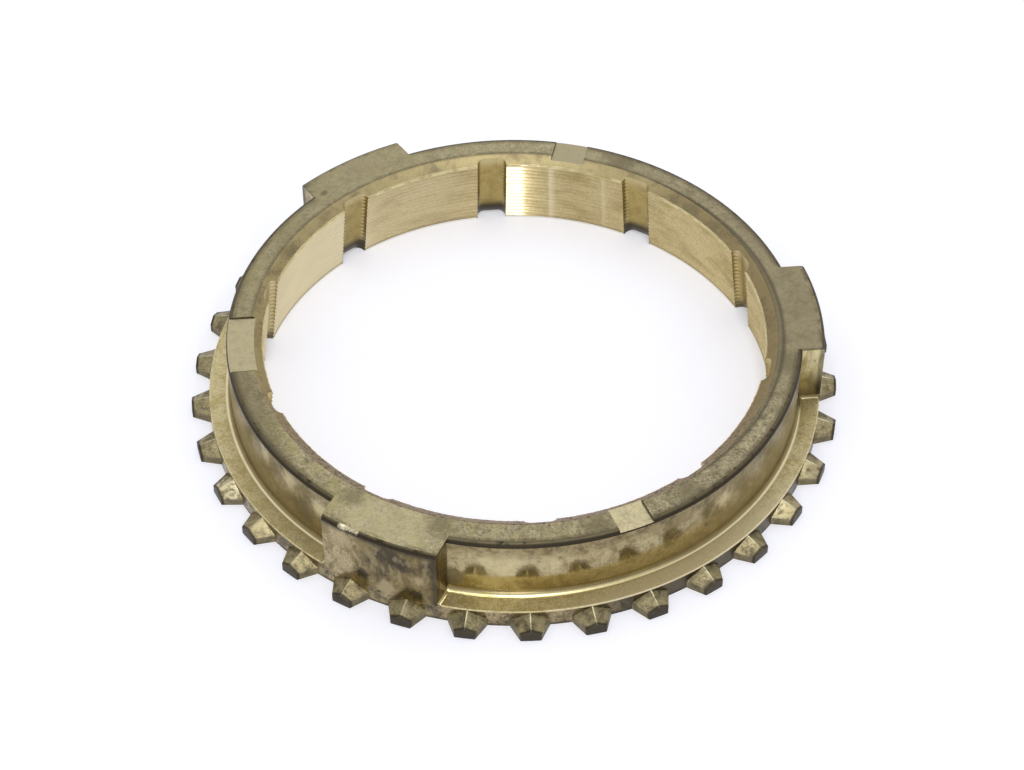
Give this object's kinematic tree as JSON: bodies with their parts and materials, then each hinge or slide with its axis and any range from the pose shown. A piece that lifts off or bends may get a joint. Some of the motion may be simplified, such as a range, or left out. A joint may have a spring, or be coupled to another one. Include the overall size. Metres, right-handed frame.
{
  "type": "synchronizer ring",
  "caption": "Brass blocker ring of a manual gearbox: pointed blocking teeth round a flange, a plain collar with lugs, and a grooved inner friction cone.",
  "frame": {"origin": "on the ring's axis, in the plane of the toothed end face that the ring stands on", "axes": "+Z along the ring's axis towards the lug end; +X through the middle of the lug opposite the wide marking flat"},
  "size_m": [0.0679, 0.068, 0.0093],
  "materials": {
    "brass": "machined bright on the shelf and cone, stained and tarnished on the collar, upper face and teeth"
  },
  "bodies": {
    "root": {"synchronizer_ring": "brass"}
  },
  "joints": []
}
